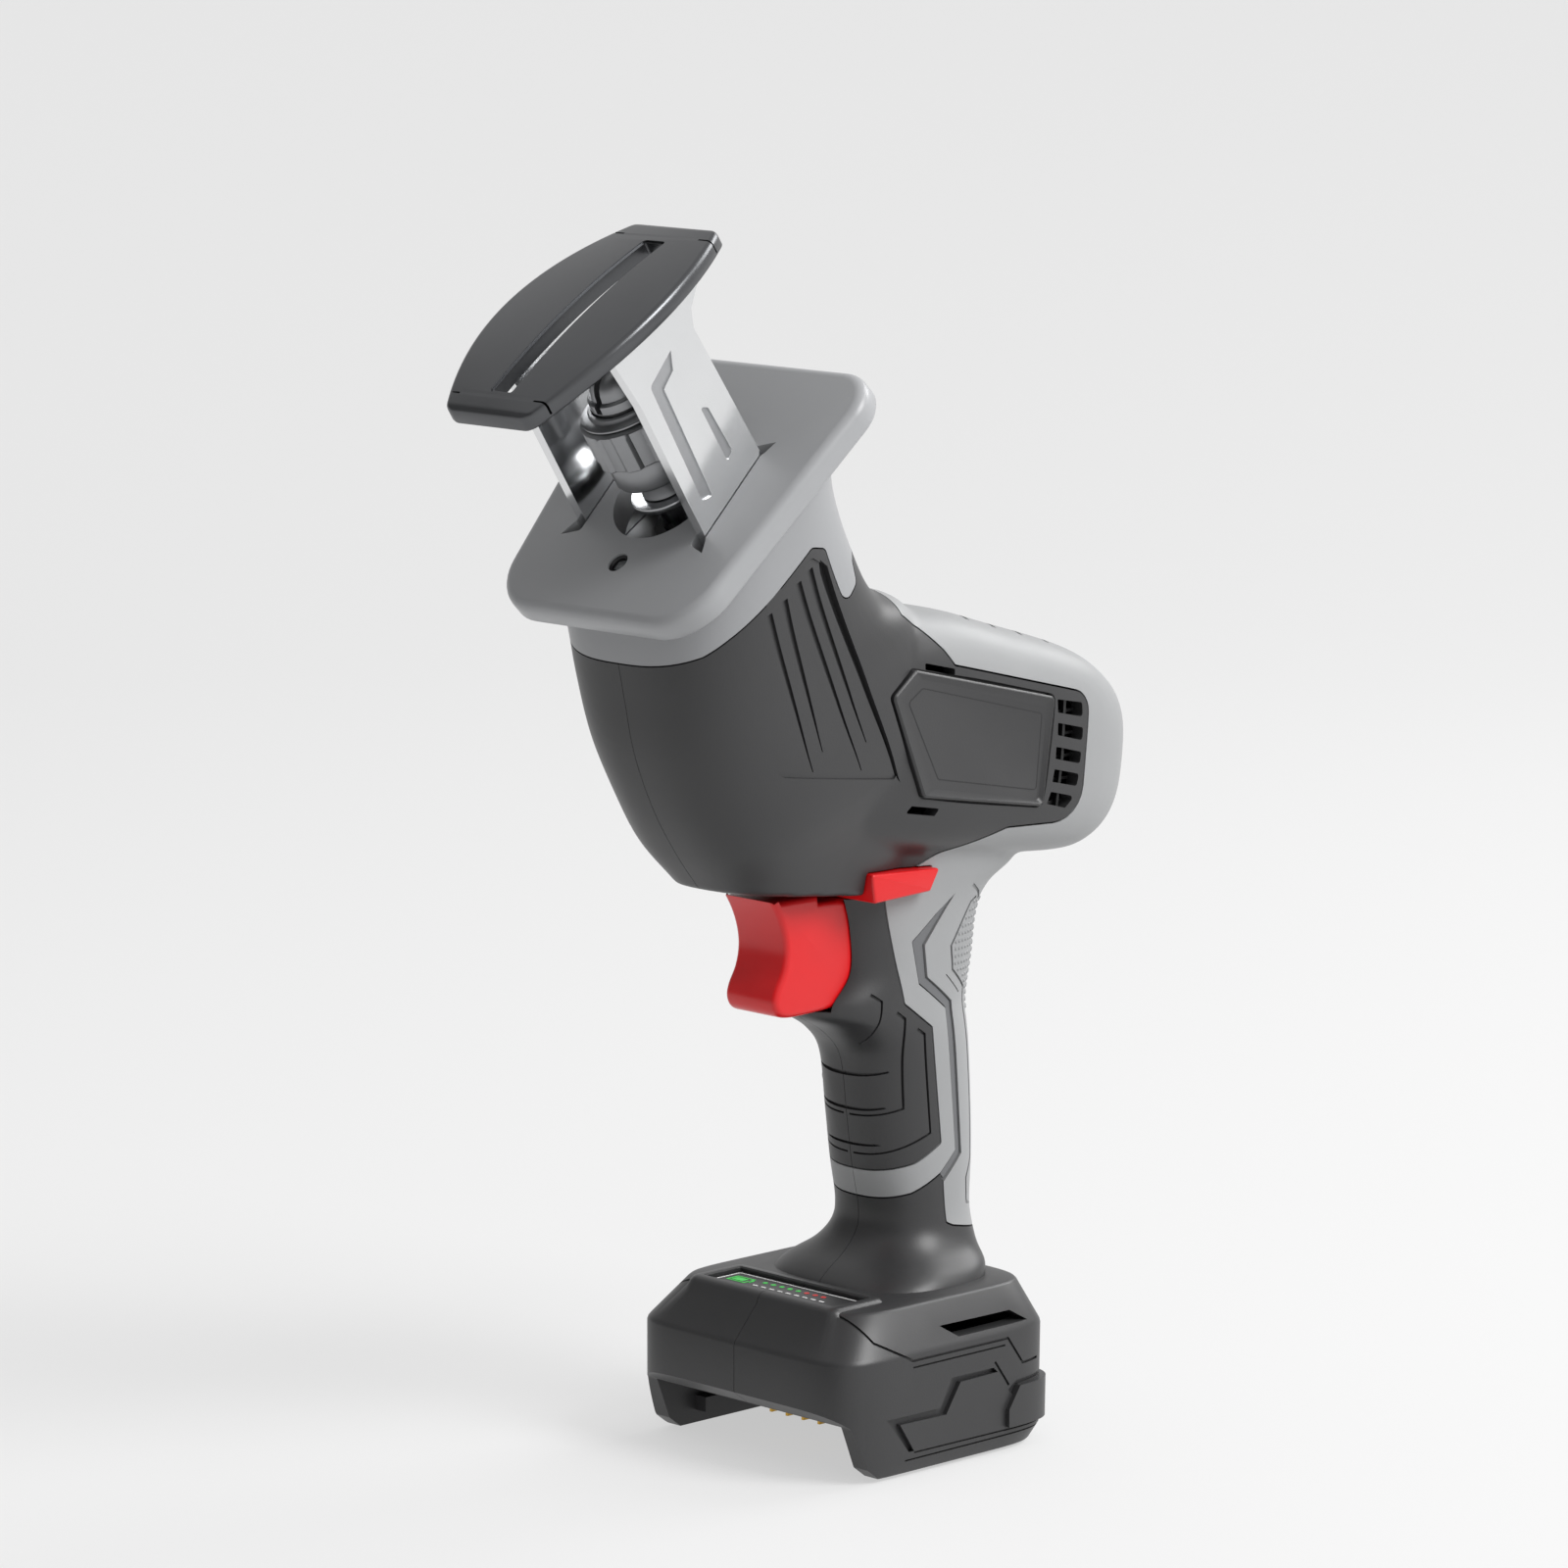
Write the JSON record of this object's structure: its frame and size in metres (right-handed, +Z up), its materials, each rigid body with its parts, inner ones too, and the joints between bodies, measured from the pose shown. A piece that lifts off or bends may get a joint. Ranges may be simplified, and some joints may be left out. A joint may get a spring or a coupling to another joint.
{
  "type": "reciprocating saw",
  "caption": "Upright cordless reciprocating saw with trigger handle, battery foot, rear motor barrel, flanged nose, blade chuck and a slotted shoe on two legs.",
  "frame": {"origin": "bottom centre of the bounding box, on the plane of the battery foot's skirts", "axes": "+Z up, +X to the tool's left side as it points away from the user, -Y towards the front of the foot and of the shoe"},
  "size_m": [0.0898, 0.213, 0.3228],
  "materials": {
    "dark_plastic": "moulded glass-filled nylon, fine spark texture",
    "grey_plastic": "soft overmould, satin",
    "collar_plastic": "moulded, satin",
    "red_plastic": "moulded acetal, half gloss",
    "black_plastic": "moulded, fine texture",
    "steel": "machined and polished",
    "dark_steel": "phosphated, oiled",
    "cast_metal": "die cast, as cast",
    "guard_metal": "moulded cap, satin grey",
    "copper": "drawn copper, lacquered",
    "brass": "stamped, plain",
    "carbon": "pressed carbon",
    "rubber": "moulded",
    "clear_lens": "clear moulded",
    "circuit_board": "glass laminate, green mask"
  },
  "bodies": {
    "housing": {"battery_blade_1": "brass", "battery_blade_2": "brass", "battery_blade_3": "brass", "battery_blade_4": "brass", "battery_connector": "black_plastic", "charge_indicator": "black_plastic", "control_board": "circuit_board", "foot_screw_back": "dark_steel", "foot_screw_front": "dark_steel", "front_bearing": "steel", "front_guard": "guard_metal", "gear_bearing": "steel", "gearbox_frame": "cast_metal", "gearbox_lid": "cast_metal", "grip_cover_left": "grey_plastic", "grip_cover_right": "grey_plastic", "guard_collar": "collar_plastic", "handle_screw_low": "dark_steel", "handle_screw_middle": "dark_steel", "handle_screw_top": "dark_steel", "housing_left": "dark_plastic", "housing_right": "dark_plastic", "lamp_board": "circuit_board", "lamp_lens": "clear_lens", "motor_brush_left": "carbon", "motor_brush_right": "carbon", "motor_can": "dark_steel", "motor_end_bell": "black_plastic", "motor_magnet_left": "dark_steel", "motor_magnet_right": "dark_steel", "nose_screw_front": "dark_steel", "nose_screw_top": "dark_steel", "plunger_guide": "brass", "plunger_seal": "rubber", "rear_bearing": "steel", "shoe": "steel", "shoe_carrier": "cast_metal", "shoe_screw_left": "dark_steel", "shoe_screw_right": "dark_steel", "side_badge_left": "black_plastic", "side_badge_right": "black_plastic", "trigger_switch": "black_plastic"},
    "crank": {"drive_gear": "dark_steel", "crank_roller": "steel", "gear_axle": "steel"},
    "rotor": {"motor_pinion": "steel", "motor_shaft": "steel", "armature": "dark_steel", "armature_winding": "copper", "commutator": "copper", "motor_fan": "black_plastic"},
    "plunger_body": {"plunger": "steel", "chuck_washer": "steel", "blade_clamp": "steel", "clamp_ring": "dark_steel", "clamp_spring": "steel"},
    "sleeve_body": {"clamp_sleeve": "dark_steel"},
    "trigger_body": {"trigger": "red_plastic", "switch_stem": "black_plastic"},
    "lock_body": {"lock_bar": "red_plastic"}
  },
  "joints": [
    {"name": "crank_spin", "type": "hinge", "parent": "housing", "child": "crank", "pos_m": [0, -0.00415, 0.194], "axis": [1, 0, 0], "continuous": true},
    {"name": "motor_spin", "type": "hinge", "parent": "housing", "child": "rotor", "pos_m": [0, -0.00415, 0.194], "axis": [0, 0.9848, -0.1736], "continuous": true},
    {"name": "plunger_slide", "type": "slide", "parent": "housing", "child": "plunger_body", "axis": [0, -0.5446, 0.8387], "range_m": [-0.008, 0.008]},
    {"name": "sleeve_twist", "type": "hinge", "parent": "plunger_body", "child": "sleeve_body", "pos_m": [0, -0.00415, 0.194], "axis": [0, -0.5446, 0.8387], "range_deg": [0, 60], "stiffness_Nm_per_rad": 0.3, "springref_deg": -17.19},
    {"name": "trigger_slide", "type": "slide", "parent": "housing", "child": "trigger_body", "axis": [0, 1, 0], "range_m": [0, 0.007], "stiffness_N_per_m": 800, "springref_m": -0.004},
    {"name": "lock_slide", "type": "slide", "parent": "housing", "child": "lock_body", "axis": [1, 0, 0], "range_m": [-0.004, 0]}
  ],
  "couplings": [
    {"joint": "motor_spin", "follows": "crank_spin", "ratio": 4}
  ]
}
